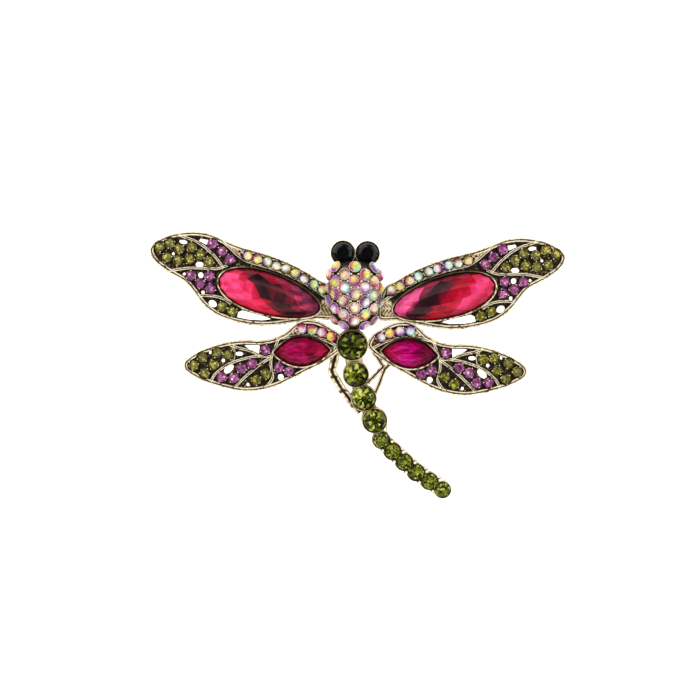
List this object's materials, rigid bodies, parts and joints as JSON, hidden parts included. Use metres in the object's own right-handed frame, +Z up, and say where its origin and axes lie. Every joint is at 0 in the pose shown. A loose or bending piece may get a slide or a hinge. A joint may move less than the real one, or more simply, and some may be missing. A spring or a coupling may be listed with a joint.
{
  "type": "dragonfly brooch",
  "caption": "Dragonfly brooch with four pierced wings, set with cut stones, that pins to cloth by a pin behind the thorax",
  "frame": {"origin": "under the middle of the brooch's box, on the surface it lies on", "axes": "+X along the wings to the picture's right, +Y to the head, +Z up through the stones"},
  "size_m": [0.072, 0.0455, 0.0104],
  "materials": {
    "antique_metal": "antique gold-tone zinc alloy casting, dark in the recesses",
    "pin_steel": "plain steel pin finding",
    "jet": "black cut glass",
    "ruby": "ruby red cut glass, foiled behind",
    "fuchsia": "fuchsia cut glass, foiled behind",
    "aurora": "clear cut glass with a rainbow coat, foiled behind",
    "amethyst": "amethyst cut glass, foiled behind",
    "olivine": "olivine cut glass, foiled behind",
    "peridot": "peridot green cut glass, foiled behind"
  },
  "bodies": {
    "root": {"casting": "antique_metal", "pin_back": "pin_steel", "eye_left": "jet", "eye_right": "jet", "ruby_left": "ruby", "ruby_right": "ruby", "marquise_left": "fuchsia", "marquise_right": "fuchsia", "thorax_stones": "aurora", "upper_row_left": "aurora", "upper_row_right": "aurora", "lower_row_left": "aurora", "lower_row_right": "aurora", "upper_amethysts_left": "amethyst", "upper_amethysts_right": "amethyst", "lower_amethysts_left": "amethyst", "lower_amethysts_right": "amethyst", "upper_olivines_left": "olivine", "upper_olivines_right": "olivine", "lower_olivines_left": "olivine", "lower_olivines_right": "olivine", "tail_stone_1": "peridot", "tail_stone_2": "peridot", "tail_stone_3": "peridot", "tail_stone_4": "peridot", "tail_stone_5": "peridot", "tail_stone_6": "peridot", "tail_stone_7": "peridot", "tail_stone_8": "peridot", "tail_stone_9": "peridot", "tail_stone_10": "peridot"}
  },
  "joints": []
}
